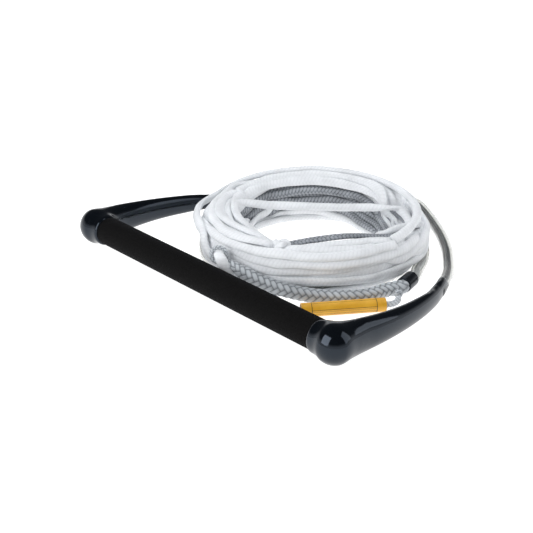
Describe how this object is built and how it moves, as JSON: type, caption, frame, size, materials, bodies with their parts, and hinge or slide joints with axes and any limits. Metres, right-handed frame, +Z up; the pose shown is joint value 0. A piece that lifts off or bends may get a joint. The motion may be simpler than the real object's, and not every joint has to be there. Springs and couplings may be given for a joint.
{
  "type": "tow rope handle",
  "caption": "Water-sports tow handle: padded straight bar, moulded float arms, sleeved rope bridle, label sleeve and a coiled braided mainline.",
  "frame": {"origin": "on the floor under the middle of the handle (bar, arms, bridle and apex), without the free rope", "axes": "+X along the bar towards the right-hand cap, +Y from the bar to the bridle's apex, +Z up from the floor the object lies on"},
  "size_m": [0.378, 0.3376, 0.053],
  "materials": {
    "aluminium_bar": "plain drawn aluminium tube",
    "grip_foam": "matte black closed-cell foam with a fine pebbled skin",
    "moulded_rubber": "smooth glossy blue-black moulding",
    "dark_bridle_rope": "fine dark braid",
    "nylon_washer": "black nylon",
    "foam_plug": "closed-cell foam",
    "clear_vinyl": "clear, slightly milky vinyl tubing",
    "white_rope": "white hollow braid, soft and slightly fuzzy",
    "grey_rope": "silver-grey hollow braid",
    "label_vinyl": "semi-gloss amber-yellow vinyl with a thin black line frame"
  },
  "bodies": {
    "handle": {"bar_tube": "aluminium_bar", "grip_sleeve": "grip_foam", "end_cap_right": "moulded_rubber", "end_cap_left": "moulded_rubber", "bridle_knot_right": "dark_bridle_rope", "bridle_knot_left": "dark_bridle_rope", "knot_washer_right": "nylon_washer", "knot_washer_left": "nylon_washer", "bar_plug_right": "foam_plug", "bar_plug_left": "foam_plug", "bridle_rope_right": "dark_bridle_rope", "bridle_rope_left": "dark_bridle_rope", "bridle_sleeve_right": "clear_vinyl", "bridle_sleeve_left": "clear_vinyl", "apex_joiner": "moulded_rubber", "leader_sleeve": "clear_vinyl", "leader_rope": "white_rope", "leader_ferrule": "moulded_rubber", "handle_line": "grey_rope", "handle_line_loop": "grey_rope", "mainline_end_loop": "white_rope", "tag_line": "grey_rope", "tag_knot": "grey_rope", "mainline_coil_white": "white_rope", "mainline_coil_grey": "grey_rope", "mainline_crossing": "white_rope"},
    "arm_right": {"float_arm_right": "moulded_rubber"},
    "arm_left": {"float_arm_left": "moulded_rubber"},
    "label": {"label_sleeve": "label_vinyl"}
  },
  "joints": [
    {"name": "right_arm_flex", "type": "hinge", "parent": "handle", "child": "arm_right", "pos_m": [0.1705, -0.15025, 0.0185], "axis": [0, 0, -1], "range_deg": [-4, 8], "stiffness_Nm_per_rad": 2, "deforming": ["bridle_rope_right", "bridle_sleeve_right"]},
    {"name": "left_arm_flex", "type": "hinge", "parent": "handle", "child": "arm_left", "pos_m": [-0.1705, -0.15025, 0.0185], "axis": [0, 0, 1], "range_deg": [-4, 8], "stiffness_Nm_per_rad": 2, "deforming": ["bridle_rope_left", "bridle_sleeve_left"]},
    {"name": "label_slide", "type": "slide", "parent": "handle", "child": "label", "axis": [0.5806, 0.8142, 0], "range_m": [-0.003, 0.004]}
  ]
}
